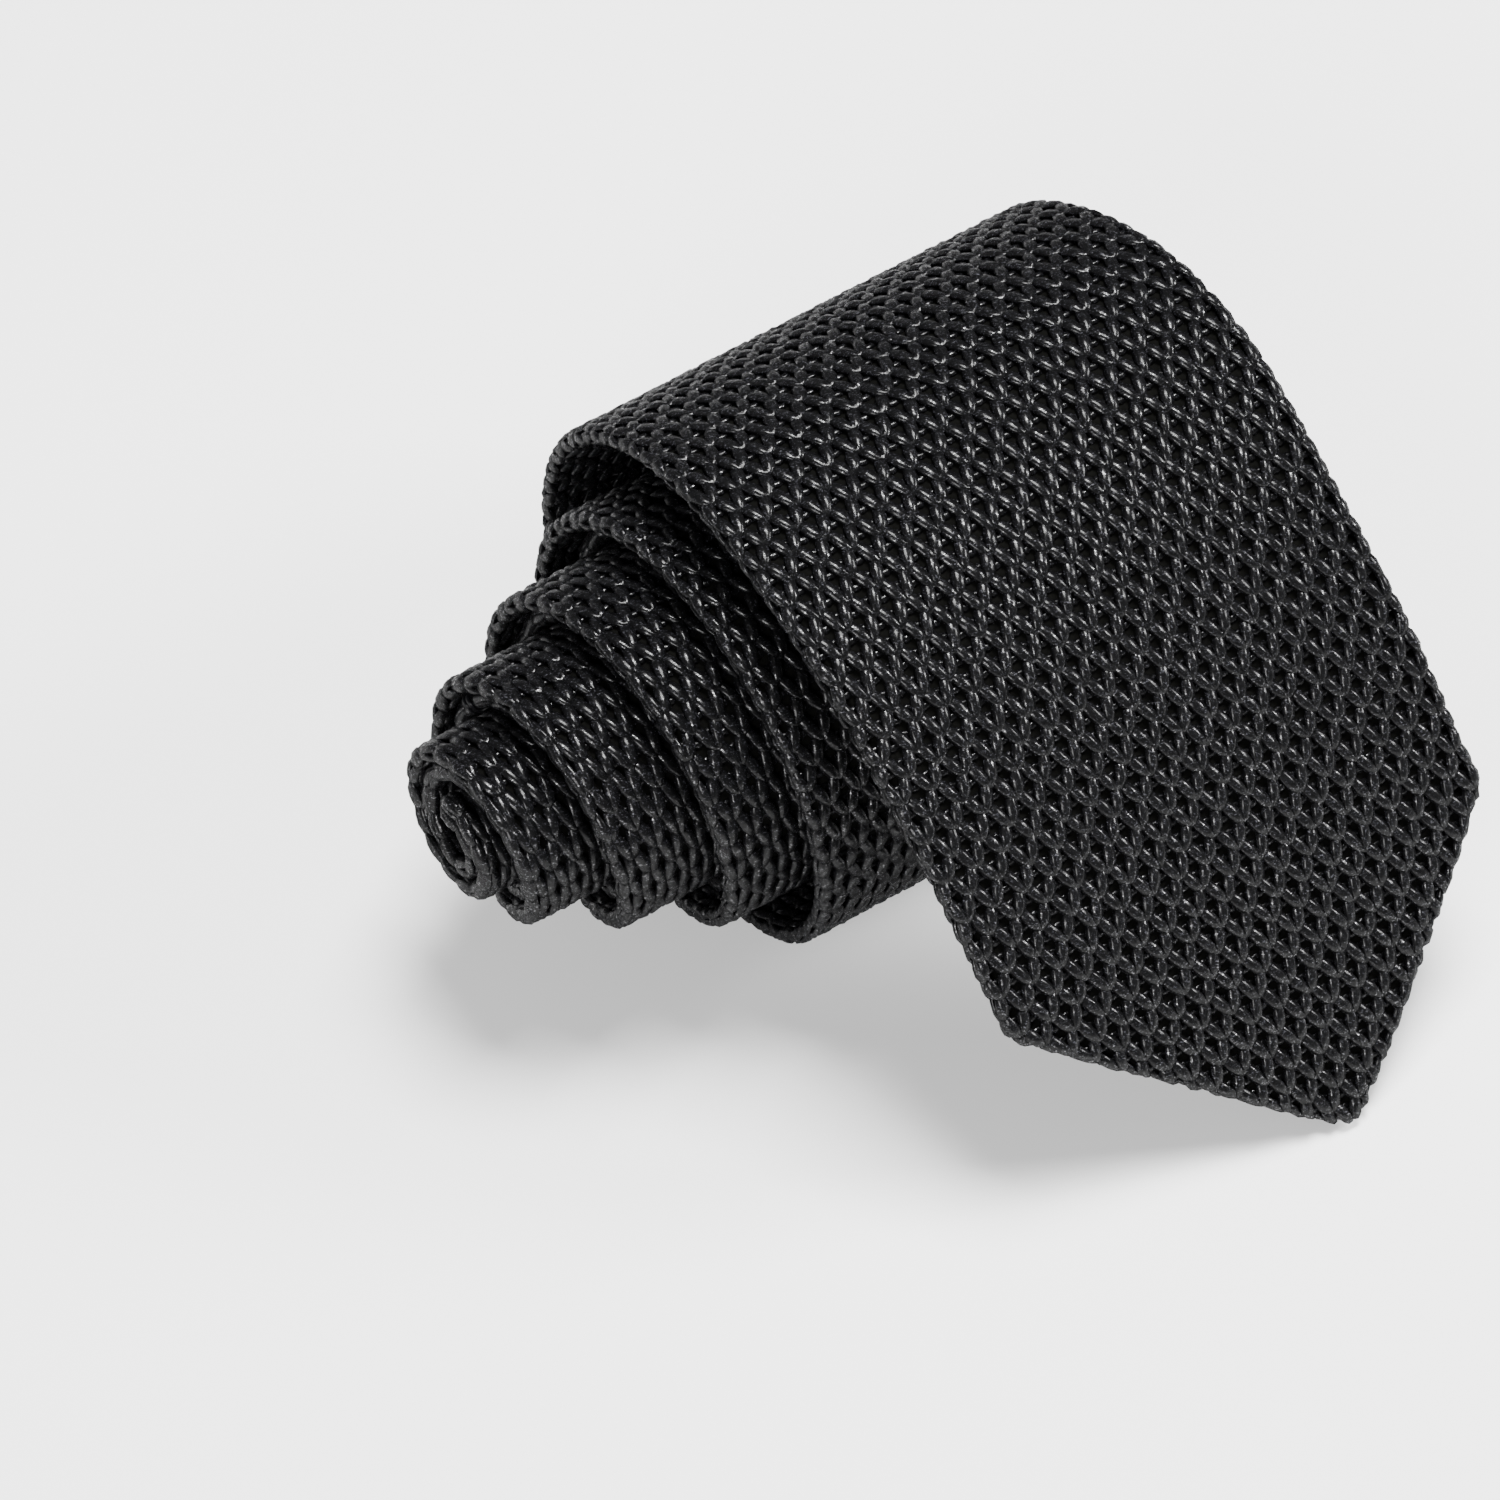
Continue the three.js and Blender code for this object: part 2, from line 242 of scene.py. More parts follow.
def lay(station, across, outward):
    """Points `across` from the middle of the face and on round the edges to the back, and
    `outward` from the cloth's surface."""
    half = at(station, path_half)
    edge = edge_radius(half)
    flat = half - edge
    side, beyond = np.sign(across), np.abs(across) - flat
    turned = np.clip(beyond / edge, 0, np.pi)
    past = np.clip(beyond - np.pi * edge, 0, None)
    sideways = np.minimum(np.abs(across), flat) + (edge + outward) * np.sin(turned) - past
    return place(station, side * sideways, edge - (edge + outward) * np.cos(turned))


class Value:
    """One output in a material's node tree. Sums and products of it make further nodes."""
    def __init__(self, tree, socket):
        self.tree, self.socket = tree, socket

    def node(self, kind, settings=None, inputs=None, output=0):
        """Adds any node: its settings first, then the values or links of its sockets."""
        made = self.tree.nodes.new(kind)
        for name, setting in (settings or {}).items():
            setattr(made, name, setting)
        for name, value in (inputs or {}).items():
            if isinstance(value, Value):
                self.tree.links.new(value.socket, made.inputs[name])
            else:
                made.inputs[name].default_value = value
        return Value(self.tree, made.outputs[output])

    def maths(self, operation, first, second=0.0):
        return self.node("ShaderNodeMath", {"operation": operation}, {0: first, 1: second})

    def __add__(self, other):
        return self.maths("ADD", self, other)

    def __mul__(self, other):
        return self.maths("MULTIPLY", self, other)

    def __sub__(self, other):
        return self.maths("SUBTRACT", self, other)

    def __rsub__(self, other):
        return self.maths("SUBTRACT", other, self)

    __radd__, __rmul__ = __add__, __mul__

    def clamp(self, low, high):
        return self.maths("MINIMUM", self.maths("MAXIMUM", self, low), high)

    def pair(self, other):
        """A flat vector of two values."""
        return self.node("ShaderNodeCombineXYZ", None, {"X": self, "Y": other})

    def noise(self, scale, detail=2.0, roughness=0.5):
        return self.node("ShaderNodeTexNoise", None, {
            "Vector": self, "Scale": scale, "Detail": detail, "Roughness": roughness})

    def bump(self, strength, distance):
        """The normal of a surface that has this value for its height."""
        return self.node("ShaderNodeBump", None, {
            "Height": self, "Strength": strength, "Distance": distance})


def new_material(name, roughness, specular):
    material = bpy.data.materials.new(name)
    material.use_nodes = True
    shader = material.node_tree.nodes["Principled BSDF"]
    shader.inputs["Roughness"].default_value = roughness
    shader.inputs["Specular IOR Level"].default_value = specular
    return material, shader


def connect(shader, name, value):
    """Feeds one input of a material's shader."""
    value.tree.links.new(value.socket, shader.inputs[name])


def coordinates(material, output):
    start = Value(material.node_tree, None)
    return start.node("ShaderNodeTexCoord", output=output)


def parts_of(vector):
    split = vector.node("ShaderNodeSeparateXYZ", inputs={"Vector": vector})
    outputs = split.socket.node.outputs
    return [Value(vector.tree, outputs[axis]) for axis in "XYZ"]


def dye_and_painted_light(shade, dark, light):
    """A colour between two tones: dyed tones for most cloths, a painted glint on the yarn, and
    painted shade on the knit ground.
    """
    return shade.node("ShaderNodeMix", {"data_type": "RGBA"}, {
        "Factor": shade, "A": (*dark, 1), "B": (*light, 1)}, "Result")


blade_drop_middle = 0.052    # station where the free blade's upper and lower lengths meet
crest_length_end = crest_at + 0.034


def cloth(name, columns, rows, places, thickness):
    """A cloth of even thickness, from a grid of shares (u, v) that `places` turns into points."""
    mesh = bmesh.new()
    bmesh.ops.create_grid(mesh, x_segments=columns, y_segments=rows, size=0.5)
    grid = np.array([vert.co[:2] for vert in mesh.verts]) + 0.5
    for vert, point in zip(mesh.verts, places(grid[:, 0], grid[:, 1])):
        vert.co = point
    bmesh.ops.recalc_face_normals(mesh, faces=mesh.faces)
    data = bpy.data.meshes.new(name)
    mesh.to_mesh(data)
    mesh.free()
    piece = bpy.data.objects.new(name, data)
    bpy.context.scene.collection.objects.link(piece)
    thick = piece.modifiers.new("thickness", "SOLIDIFY")
    thick.thickness, thick.offset = thickness, 0
    piece.data = bpy.data.meshes.new_from_object(
        piece.evaluated_get(bpy.context.evaluated_depsgraph_get()))
    piece.modifiers.clear()
    piece.data.name = name
    for face in piece.data.polygons:
        face.use_smooth = True
    return piece


def rows_between(start, end):
    """Stations of a cloth's rows of corners, about 1.6 mm apart."""
    return np.linspace(start, end, int((end - start) / 0.0016) + 2)


def cloth_strip(name, stations, reach, outward, thickness, columns):
    """A strip of cloth laid round the tie. `reach` gives its two edges at each station."""
    def places(u, v):
        station = np.interp(v, np.linspace(0, 1, len(stations)), stations)
        low, high = reach(station)
        return lay(station, low + (high - low) * u, np.full(len(station), outward))
    return cloth(name, columns, len(stations) - 1, places, thickness)


def declare_strip(stations, reach):
    """Works out a strip's width, that of its widest row, its length and the area of all rows, and
    does nothing further with them.
    """
    low, high = reach(stations)
    width, length = float(np.max(high - low)), float(stations[-1] - stations[0])
    area = float(np.sum((high - low)[1:] * np.diff(stations)))


def hang_on(piece, part):
    """Joins a piece to the roll, or, on the crest and the tip, bakes its place into its mesh."""
    if part == "crest":
        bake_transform(piece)
    elif part == "tip":
        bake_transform(piece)
    else:
        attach(piece, "roll")


felt, felt_shader = new_material("interlining_felt", 0.95, 0.2)
felt_shader.inputs["Sheen Weight"].default_value = 0.3
felt_shader.inputs["Sheen Roughness"].default_value = 0.6
grain = coordinates(felt, "Object").noise(900.0)
connect(felt_shader, "Base Color", dye_and_painted_light(grain, (0.012, 0.012, 0.014), (0.035, 0.035, 0.038)))
connect(felt_shader, "Normal", grain.bump(0.5, 0.0002))

interlining_wall = 0.0004
interlining_depth = 0.00125  # from the knitted face to the middle of the felt
interlining_inset = 0.0013   # short of the knit's edges
interlining_end = 0.004      # short of the knit's two points


def interlining_reach(station):
    half = np.maximum(at(station, path_half) - interlining_inset, 0.0002)
    return -half, half


# Where each length starts and ends, and the CAD node that it stands for.
interlining_lengths = {
    "tip": (interlining_end, blade_drop_middle, "tip_interlining"),
    "crest": (blade_drop_middle, crest_length_end, "blade_interlining"),
    "rolled": (crest_length_end, tie_length - interlining_end, "rolled_interlining"),
}
for part, (start, end, node) in interlining_lengths.items():
    stations = rows_between(start, end)
    piece = cloth_strip(f"interlining_{part}", stations, interlining_reach, -interlining_depth,
                        interlining_wall, 12)
    piece.data.materials.append(felt)
    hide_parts(node)
    declare_strip(stations, interlining_reach)
    hang_on(piece, part)


# ---------------------------------------------------------------------------------------------
# Knit ground. The knitted cloth's own sheet: it goes round both edges and nearly meets at the
# middle of the back, and its stitches stand on it. Blade, neck and tail are three cut pieces.
hem = 0.013
tail_hem = 0.008
back_gap = 0.0006            # from the cloth's edge to the middle of the back
ground_depth = 0.0010        # from the knitted face to the middle of the ground
ground_wall = 0.0002
ground_end = 0.0006          # short of the tie's two points
blade_seam_share = 0.68      # of the way from the crest to the fold
tail_seam_share = 0.24       # of the way from the fold to the tail's point
blade_seam_at = crest_at + blade_seam_share * (fold_at - crest_at)
tail_seam_at = tail_from + tail_seam_share * (tie_length - tail_from)


def knit_reach(station):
    """The knit's two edges: at the middle of the back, or at the hem's edge near the points."""
    half = at(station, path_half)
    round_edge = (math.pi - 2) * edge_radius(half)
    hem_width = np.where(station < tip_length, hem, np.where(
        station > tie_length - tail_tip_length, tail_hem, half))
    reach = half + round_edge + np.minimum(hem_width, half) - back_gap
    return -reach, reach


# Where each length of the ground starts and ends, and the CAD node that it stands for.
knit_lengths = {
    "tip": (ground_end, blade_drop_middle, "tip_knit"),
    "crest": (blade_drop_middle, crest_length_end, "blade_knit"),
    "rolled_blade": (crest_length_end, blade_seam_at, "rolled_blade_knit"),
    "neck": (blade_seam_at, tail_seam_at, "neck_knit"),
    "tail": (tail_seam_at, tie_length - ground_end, "tail_knit"),
}
grounds = {}
for part, (start, end, node) in knit_lengths.items():
    stations = rows_between(start, end)
    ground = cloth_strip(
        f"knit_ground_{part}", stations, knit_reach, -ground_depth, ground_wall, 44)
    grounds[part] = (ground, stations)
    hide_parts(node)


# ---------------------------------------------------------------------------------------------
# Yarn. Every course of the knit is one length of soft yarn in long loops, whose two legs stand
# out as a V that points to the tip. The V's of one course sit between those of the next, with a
# hole above each. The neck is pulled lengthwise, which draws its loops out long and narrow.
stitch_width = 0.0038
course_height = 0.00245
yarn_radius = 0.0006
loop_height = 0.0016
leg_relief = 0.00016         # a loop's legs stand this far above its ends
course_relief = 0.00022      # and its top this far above its foot
yarn_sink = 0.00047
tuck_depth = 0.00085         # the held part of a loop lies this far below the surface
tuck_height = 0.0004         # and runs this far up and down the cloth
tuck_relief = 0.0001
tuck_swell = 0.8
yarn_swell = 1.10            # the yarn is slack on a loop's legs and thinner at its ends
swell_change = 0.26
uneven_width = 0.03          # how much stitches differ, as shares of their size
uneven_height = 0.08
uneven_swell = 0.04
uneven_rise = 0.00003
yarn_flatness = 0.54         # soft yarn is pressed flat in the cloth
yarn_on_table = 0.7 * yarn_radius
course_end_gap = 0.0003      # the yarn stops this far short of the cloth's ends
pull_starts = crest_at + 0.16
most_pulled = 0.70
yarn_sides = 6
steps_per_stitch = 12
most_tris = 150000           # a piece of yarn ends with the course that takes it past this

pull_share = np.clip((path_length - pull_starts) / (fold_at - pull_starts), 0, 1)
pull = 1 - (1 - most_pulled) * pull_share
cloth_station = np.concatenate([
    [0], np.cumsum(steps * (pull[1:] + pull[:-1]) / 2)])


def course_at(row):
    """A course's middle, in the cloth's own measure. The first one's V's touch the tie's tip."""
    return course_height * row + loop_height + 0.0002


def yarn_course(row, per_stitch, chance):
    """One course: where its yarn runs, in the cloth's own flat measure."""
    stitches = int(2 * blade_width / stitch_width) + 1
    count = 2 * stitches * per_stitch + 1
    stitch = np.linspace(-stitches, stitches, count)
    phase = 2 * np.pi * (stitch + (row % 2) / 2)
    uneven = np.interp(stitch, np.arange(-stitches, stitches + 1),
                       chance.normal(0, 1, 2 * stitches + 1))
    across = stitch_width * (stitch + uneven_width * uneven)
    height = loop_height * (1 + uneven_height * uneven)
    cloth = course_at(row) - height * np.cos(phase)
    rise = course_relief * np.cos(phase) - leg_relief * np.cos(2 * phase) - yarn_sink
    swell = yarn_swell - swell_change * np.cos(2 * phase) + chance.normal(0, uneven_swell, count)
    return across, cloth, rise + chance.normal(0, uneven_rise, count), swell


def tuck_course(row, per_stitch, chance):
    """The held strand of a course, which runs nearly straight behind its loops."""
    across = yarn_course(row, per_stitch // 2, chance)[0]
    phase = 2 * np.pi * (across / stitch_width + (row % 2) / 2)
    cloth = course_at(row) - tuck_height / 2 + tuck_height * np.cos(phase)
    rise = -tuck_depth - tuck_relief * np.cos(phase)
    return across, cloth, rise, np.full(len(across), tuck_swell)


def round_tubes(data, lines, radius, sides):
    """Mends the rings that a sharp bend draws out, presses the yarn flat, and makes the UV map
    run along it in millimetres instead of in shares of its length."""
    corners = np.zeros(len(data.vertices) * 3, np.float32)
    data.vertices.foreach_get("co", corners)
    rings = corners.reshape(-1, sides, 3)
    centres, outs = (np.concatenate([line[i] for line in lines])[:, None] for i in (0, 2))
    radii = radius * np.concatenate([line[1] for line in lines])[:, None, None]
    spokes = rings - centres
    reach = np.linalg.norm(spokes, axis=2, keepdims=True)
    spokes *= np.minimum(1, 1.15 * radii / np.maximum(reach, 1e-9))
    spokes -= outs * np.sum(spokes * outs, axis=2, keepdims=True) * (1 - yarn_flatness)
    data.vertices.foreach_set("co", (centres + spokes).astype(np.float32).ravel())
    flat = np.zeros(len(data.loops) * 2, np.float32)
    data.uv_layers[0].data.foreach_get("uv", flat)
    lengths = [np.linalg.norm(np.diff(line[0], axis=0), axis=1).sum() for line in lines]
    flat[0::2] *= np.concatenate([
        np.full((len(line[0]) - 1) * sides * 4, length * 1000)
        for line, length in zip(lines, lengths)])
    data.uv_layers[0].data.foreach_set("uv", flat)


def tubes(name, lines, radius, sides):
    """Tubes along lines, each of which has its points, their swell and the way out of the
    cloth at each of them."""
    curve = bpy.data.curves.new(name, "CURVE")
    curve.dimensions = "3D"
    curve.bevel_depth = radius
    curve.bevel_resolution = (sides - 4) // 2
    for points, swell, _ in lines:
        spline = curve.splines.new("POLY")
        spline.points.add(len(points) - 1)
        whole = np.hstack([points, np.ones((len(points), 1))])
        spline.points.foreach_set("co", whole.astype(np.float32).ravel())
        spline.points.foreach_set("radius", swell.astype(np.float32))
    holder = bpy.data.objects.new(name, curve)
    bpy.context.scene.collection.objects.link(holder)
    data = bpy.data.meshes.new_from_object(
        holder.evaluated_get(bpy.context.evaluated_depsgraph_get()))
    bpy.data.objects.remove(holder)
    round_tubes(data, lines, radius, sides)
    data.name = name
    for face in data.polygons:
        face.use_smooth = True
    piece = bpy.data.objects.new(name, data)
    bpy.context.scene.collection.objects.link(piece)
    return piece


def course_lines(course, reach):
    """The lengths of one course that lie inside the cloth's edges."""
    across, height, rise, swell = course
    station = np.interp(height, cloth_station, path_length)
    across = across * np.interp(height, cloth_station, pull)
    low, high = reach(station)
    inside = (height > course_end_gap) & (height < cloth_station[-1] - course_end_gap)
    inside &= (across > low) & (across < high)
    lines = []
    for run in np.split(np.arange(len(inside)), np.where(np.diff(inside))[0] + 1):
        if len(run) >= 4 and inside[run[0]]:
            points = lay(station[run], across[run], rise[run])
            outs = (lay(station[run], across[run], rise[run] + 0.0001) - points) / 0.0001
            points[:, 2] = np.maximum(points[:, 2], yarn_on_table)
            lines.append((points, swell[run], outs))
    return lines


def silk(name, dark, light, turns_per_mm, relief):
    """Twisted filaments: fine hairs along the yarn, with painted glints, and a slow ply."""
    material, shader = new_material(name, 0.5, 0.05)
    along, around, _ = parts_of(coordinates(material, "UV"))
    twist = along * turns_per_mm + around
    ply = twist.maths("SINE", twist * 12.566)    # two plies to a turn
    hairs = along.pair(twist * 10.0).noise(3.4, 4.0, 0.7)
    specks = coordinates(material, "Object").noise(4600.0, 1.0)
    shade = (hairs * 6.5 + specks * 3.4 + ply * 0.12 - 5.35).clamp(0.0, 1.0)
    glint = shade * shade
    # Painted glint: the base colour turns from dark to light where the hairs and specks shine.
    connect(shader, "Base Color", dye_and_painted_light(glint, dark, light))
    connect(shader, "Roughness", (0.75 - shade * 0.55).clamp(0.2, 0.9))
    connect(shader, "Coat Weight", glint * 0.9 + 0.07)
    shader.inputs["Coat Roughness"].default_value = 0.22
    shader.inputs["Coat IOR"].default_value = 2.1
    connect(shader, "Normal", (hairs + ply * 0.25 + specks * 0.4).bump(1.0, relief))
    return material


# The light colour is a painted glint, the dark one the yarn's own black.
yarn = silk("spun_yarn", (0.0008, 0.0008, 0.0011), (0.085, 0.085, 0.102), 0.55, 0.00034)

# Near black: the cloth's own black, darkened as painted shade for the holes between stitches.
ground_cloth, ground_shader = new_material("knit_ground", 0.9, 0.06)
fuzz = coordinates(ground_cloth, "Object").noise(1500.0)
connect(ground_shader, "Base Color", dye_and_painted_light(
    fuzz, (0.0004, 0.0004, 0.0003), (0.0024, 0.0024, 0.0019)))
connect(ground_shader, "Normal", fuzz.bump(0.6, 0.0002))


def face_reach(station):
    """The face, both edges and a little of the back, where the rest is never seen."""
    low, high = knit_reach(station)
    edge = at(station, path_half) + layer * 3
    return np.maximum(low, -edge), np.minimum(high, edge)


seen_all_round = crest_at + 0.205    # up to here the tie's back can be seen as well
rows_made = 0
for part, (ground, stations) in grounds.items():
    ground.data.materials.append(ground_cloth)
    last_row = int(at(stations[-1], cloth_station) / course_height)
    if part == "tail":
        last_row += 1        # the last course reaches past the tail's point
    made, lines = [], []
    while rows_made <= last_row:
        row_station = np.interp(course_at(rows_made), cloth_station, path_length)
        reach = knit_reach if row_station < seen_all_round or part == "tail" else face_reach
        chance = np.random.default_rng(rows_made)
        lines += course_lines(yarn_course(rows_made, steps_per_stitch, chance), reach)
        lines += course_lines(tuck_course(rows_made, steps_per_stitch, chance), reach)
        rows_made += 1
        tris = 2 * yarn_sides * sum(len(line[0]) for line in lines)
        if tris > most_tris or rows_made > last_row:
            piece = tubes(f"yarn_{part}_{len(made) + 1}", lines, yarn_radius, yarn_sides)
            piece.data.materials.append(yarn)
            hang_on(piece, part)
            made.append(piece)
            lines = []
    declare_strip(stations, knit_reach)
    hang_on(ground, part)


# ---------------------------------------------------------------------------------------------
# Slip stitch. One slack thread runs the length of the back and draws the knit's two edges
# together. It crosses from edge to edge every few millimetres.
thread_radius = 0.0003
fine_thread_radius = 0.0002
thread_sides = 6
stitch_pitch = 0.0056        # along the tie, for one stitch there and one back
stitch_half = 0.0016
slip_start = 0.0375          # the hem is closed up to here
# The thread's light colour is a painted glint too, as on the yarn.
thread_twist = silk("thread", (0.004, 0.004, 0.005), (0.035, 0.035, 0.041), 0.9, 0.00012)
back_seam = layer + 0.0001   # depth of the back's surface below the face


def sewn(name, lines, part, node, radius=thread_radius):
    """A thread sewn along lines of points."""
    rows = [(points, np.ones(len(points)), np.zeros(points.shape)) for points in lines]
    piece = tubes(name, rows, radius, thread_sides)
    piece.data.materials.append(thread_twist)
    if node:
        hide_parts(node)
    hang_on(piece, part)


def slip_stitch(start, end):
    """A zigzag with rounded corners."""
    station = np.linspace(start, end, int((end - start) / 0.0005))
    phase = 2 * np.pi * (station - start) / stitch_pitch
    sideways = stitch_half * np.tanh(2.2 * np.sin(phase))
    return place(station, sideways, np.full(len(station), back_seam))


slip_lengths = {
    "tip": (slip_start, blade_drop_middle, None),
    "crest": (blade_drop_middle, crest_length_end, "blade_slip_stitch"),
    "rolled": (crest_length_end, tie_length - tail_tip_length, "rolled_slip_stitch"),
}
for part, (start, end, node) in slip_lengths.items():
    sewn(f"slip_stitch_{part}", [slip_stitch(start, end)], part, node)


# ---------------------------------------------------------------------------------------------
# Bar tacks. Where each hem opens, a few close stitches of doubled thread are worked across the
# back, so that the slip stitch can't run back.
tack_half_length = 0.0013
tack_laps = 7
blade_tack_at = 0.0365
tail_tack_at = tie_length - tail_tip_length - 0.0008


def bar_tack(name, station, half, part, node):
    """Laps across the back that sink into the cloth at both ends."""
    share = np.linspace(0, 1, 160)
    sideways = half * np.cos(2 * np.pi * tack_laps * share)
    stations = station + tack_half_length * (share - 0.5) * 2
    depth = back_seam + 0.0002 - 0.0003 * np.abs(sideways / half) ** 6
    sewn(name, [place(stations, sideways, depth)], part, node)


bar_tack("bar_tack_blade", blade_tack_at, 0.0035, "tip", "blade_bar_tack")
bar_tack("bar_tack_tail", tail_tack_at, 0.0022, "rolled", "tail_bar_tack")


# ---------------------------------------------------------------------------------------------
# Neck seams. The blade and the tail are sewn to the neck piece with a plain seam: two lines of
# chain stitch side by side, pressed open and held down by the roll.
seam_half = 0.0005           # from the seam to either line of stitches
chain_pitch = 0.0024


def seam_lines(station):
    low, high = knit_reach(np.array([station]))
    lines = []
    for aside in (-seam_half, seam_half):
        across = np.linspace(low[0], high[0], 400)
        wave = 2 * np.pi * across / chain_pitch
        stations = station + aside + 0.00025 * np.sin(wave)
        lines.append(lay(stations, across, 0.00005 + 0.0001 * np.cos(wave)))
    return lines


sewn("seam_blade_neck", seam_lines(blade_seam_at), "neck", "blade_neck_seam")
sewn("seam_neck_tail", seam_lines(tail_seam_at), "neck", "neck_tail_seam")


# ---------------------------------------------------------------------------------------------
# Linings. A smooth satin lines each point behind its hem. It is cut to the opening that the hem
# leaves, laid flat on the knit's back and sewn down along its sides.
lining_wall = 0.0002
lining_depth = 0.0006        # inside the back's surface
lining_gap = 0.0004          # from the hem's edge
lining_rows = 29
satin, satin_shader = new_material("lining_satin", 0.42, 0.4)
satin_x, satin_y, _ = parts_of(coordinates(satin, "Object"))
weave = (satin_x * 5200.0).pair(satin_y * 900.0).noise(1.0)
connect(satin_shader, "Base Color", dye_and_painted_light(weave, (0.006, 0.006, 0.008), (0.019, 0.019, 0.023)))
connect(satin_shader, "Roughness", (0.32 + weave * 0.3).clamp(0.3, 0.7))
connect(satin_shader, "Normal", weave.bump(0.35, 0.00008))


def lining_half(station, hem_width):
    return np.maximum(at(station, path_half) - hem_width - lining_gap, 0.0003)


def lining(name, start, end, hem_width, node, rests_on, part):
    stations = np.linspace(start, end, lining_rows + 1)

    def reach(station):
        half = lining_half(station, hem_width)
        return -half, half

    def places(u, v):
        station = start + (end - start) * v
        half = lining_half(station, hem_width)
        return place(station, half * (2 * u - 1), np.full(len(u), layer - lining_depth))

    piece = cloth(name, 24, lining_rows, places, lining_wall)
    piece.data.materials.append(satin)
    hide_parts(node)
    declare_strip(stations, reach)
    hang_on(piece, part)


blade_lining = (0.0130, 0.0350)
tail_lining = (tie_length - 0.0222, tie_length - 0.0110)
lining("lining_tip", *blade_lining, hem, "tip_lining", "knit_ground_tip", "tip")
lining("lining_tail", *tail_lining, tail_hem, "tail_lining", "knit_ground_tail", "rolled")


# ---------------------------------------------------------------------------------------------
# Lining stitches. Small slanted stitches of thread fell the lining to the hem, along both sides
# of the blade's point.
felling_pitch = 0.0018
felling_length = 0.0012
felling_inside = -0.0009     # sideways, from the lining's edge
felling_outside = 0.0007
felling_steps = 8


def felling(side):
    """Each stitch arches from the lining over onto the hem."""
    lines = []
    for station in np.arange(blade_lining[0] + 0.0005, blade_lining[1], felling_pitch):
        stations = station + np.linspace(0, felling_length, felling_steps)
        arch = np.sin(np.linspace(0, np.pi, felling_steps))
        slant = np.linspace(felling_inside, felling_outside, felling_steps)
        half = lining_half(stations, hem) + slant
        lines.append(place(stations, side * half, layer - 0.0003 + 0.0004 * arch))
    return lines


sewn("felling_left", felling(-1), "tip", "tip_stitches_left", fine_thread_radius)
sewn("felling_right", felling(1), "tip", "tip_stitches_right", fine_thread_radius)


# ---------------------------------------------------------------------------------------------
# Keeper loop. A strip of fine knit, folded flat into a band, arches over the blade's back to
# hold the tail. Its two feet lie flat and are sewn down.
keeper_turn = 0.44
keeper_half = 0.015
keeper_foot = 0.004
keeper_rise = 0.0013
keeper_band = 0.0095
keeper_wall = 0.00015
behind = layer + 0.0006      # depth of what lies on the blade's back


def station_of(turn):
    """The station on the blade that lies this many turns behind the crest."""
    rolled = slice(len(drop_points), blade_count)
    return float(np.interp(turn, path_turn[rolled], path_length[rolled]))


def band_depth(sideways):
    """Flat on the back at both feet, and raised between them."""
    foot = np.clip((keeper_half - keeper_foot - np.abs(sideways)) / keeper_rise / 1.6, 0, 1)
    return behind + keeper_rise * foot * foot * (3 - 2 * foot)


def keeper_places(u, v):
    """`u` goes along the band and `v` round it: down one face and back up the other."""
    sideways = keeper_half * (2 * u - 1)
    turn = 2 * np.pi * v
    squarish = np.clip(1.25 * np.cos(turn), -1, 1)
    station = station_of(keeper_turn) + keeper_band / 2 * squarish
    return place(station, sideways, band_depth(sideways) + 0.00025 * np.sin(turn))


def crossed(material, across, along):
    """Waves of threads that cross, `across` and `along` radians to the metre."""
    x, y, z = parts_of(coordinates(material, "Object"))
    return x.maths("SINE", x * across) * y.maths("SINE", (y + z) * along)


def woven_look(shader, threads, dark, light, strength, relief):
    """Colours and raises a cloth by the waves of its threads."""
    connect(shader, "Base Color", dye_and_painted_light((threads * 0.5 + 0.5).clamp(0.0, 1.0), dark, light))
    connect(shader, "Normal", threads.bump(strength, relief))


keeper_knit, keeper_shader = new_material("keeper_knit", 0.7, 0.3)
woven_look(keeper_shader, crossed(keeper_knit, 9000.0, 8000.0),
           (0.004, 0.004, 0.005), (0.020, 0.020, 0.024), 0.6, 0.0002)
keeper = cloth("keeper_band", 60, 24, keeper_places, keeper_wall)
keeper.data.materials.append(keeper_knit)
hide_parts("keeper_loop")
hang_on(keeper, "rolled")

keeper_zigzags = 5
for side, name in ((-1, "left"), (1, "right")):
    share = np.linspace(0, 1, 90)
    stations = station_of(keeper_turn) + (share - 0.5) * (keeper_band - 0.001)
    zigzag = 0.0006 * np.sin(2 * np.pi * keeper_zigzags * share)
    sideways = side * (keeper_half - keeper_foot / 2) + zigzag
    depth = np.full(len(share), behind + 0.0005)
    sewn(f"keeper_stitch_{name}", [place(stations, sideways, depth)],
         "rolled", f"keeper_stitch_{name}", fine_thread_radius)


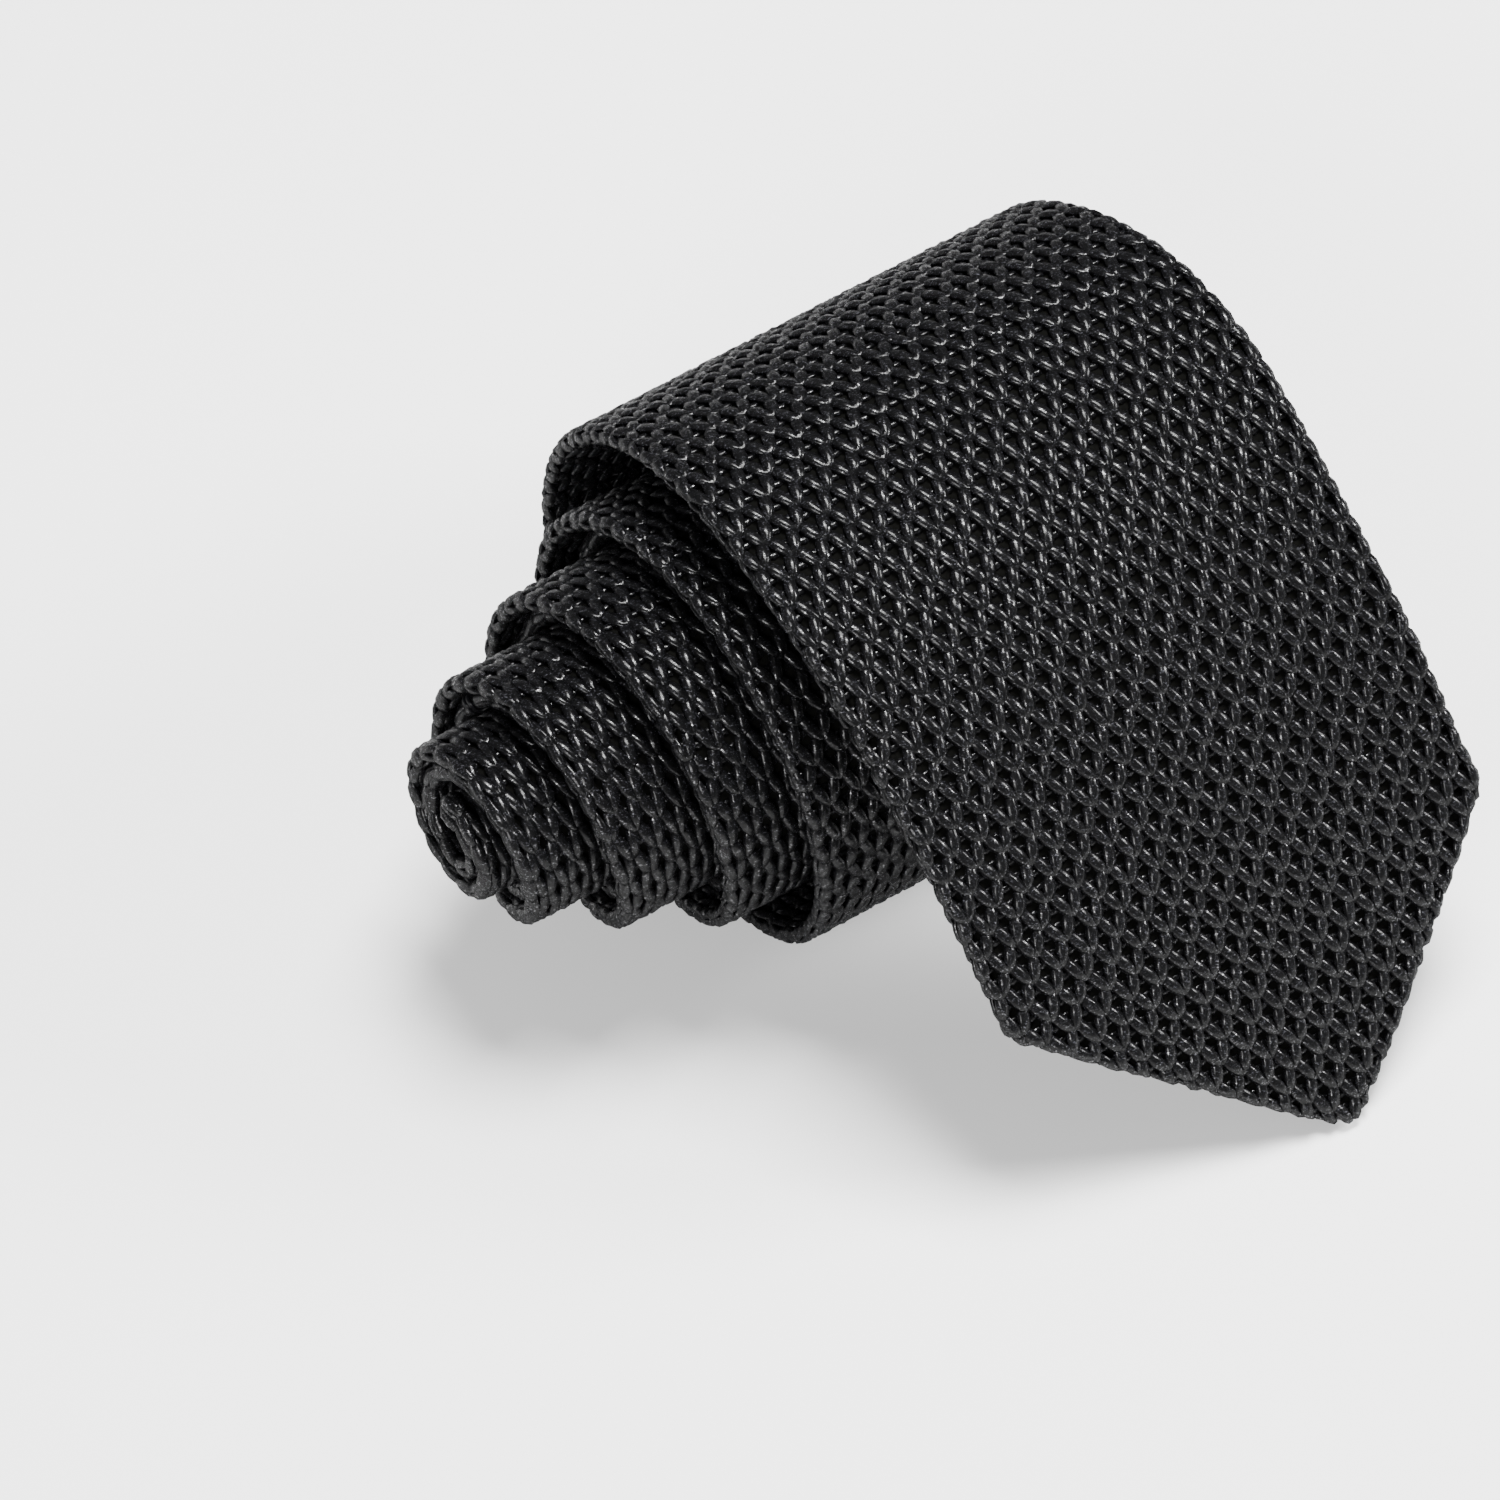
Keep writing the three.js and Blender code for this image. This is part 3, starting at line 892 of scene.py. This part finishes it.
# ---------------------------------------------------------------------------------------------
# Label. A small blank woven label, its ends turned under, is tacked to the blade's back below
# the keeper loop.
label_turn = 0.34
label_half = 0.012
label_length = 0.012
label_wall = 0.0003


def label_places(u, v):
    sideways = label_half * (2 * u - 1)
    station = station_of(label_turn) + label_length * (v - 0.5)
    return place(station, sideways, behind + 0.0001 * np.cos(np.pi * (2 * u - 1)))


woven, woven_shader = new_material("woven_label", 0.6, 0.3)
woven_look(woven_shader, crossed(woven, 14000.0, 12000.0),
           (0.012, 0.012, 0.015), (0.040, 0.040, 0.046), 0.5, 0.00012)
label = cloth("label_blank", 40, 16, label_places, label_wall)
label.data.materials.append(woven)
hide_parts("blank_label")
hang_on(label, "rolled")


# ---------------------------------------------------------------------------------------------
# Floor and light: a plain pale sweep, a large soft light above, and weaker ones at the sides.
floor_mesh = bmesh.new()
bmesh.ops.create_grid(floor_mesh, x_segments=1, y_segments=1, size=1.5)
floor_data = bpy.data.meshes.new("floor")
floor_mesh.to_mesh(floor_data)
floor_mesh.free()
floor = bpy.data.objects.new("floor", floor_data)
bpy.context.scene.collection.objects.link(floor)
paper, paper_shader = new_material("white_paper", 0.8, 0.3)
paper_shader.inputs["Base Color"].default_value = (0.92, 0.92, 0.92, 1)
floor.data.materials.append(paper)

world = bpy.data.worlds.new("studio")
bpy.context.scene.world = world
world.use_nodes = True
sky = world.node_tree.nodes["Background"]
sky.inputs["Color"].default_value = (1, 1, 1, 1)
sky.inputs["Strength"].default_value = 0.35


def soft_light(name, place, width, watts):
    light = bpy.data.lights.new(name, "AREA")
    light.size = width
    light.energy = watts
    holder = bpy.data.objects.new(name, light)
    bpy.context.scene.collection.objects.link(holder)
    holder.location = place
    holder.rotation_mode = "QUATERNION"
    holder.rotation_quaternion = (-Vector(place)).to_track_quat("-Z", "Y")


soft_light("top_light", (0.15, 0.08, 0.9), 0.35, 26)
soft_light("right_light", (0.8, -0.35, 0.55), 0.3, 16)
soft_light("left_light", (-0.7, -0.5, 0.6), 0.4, 13)
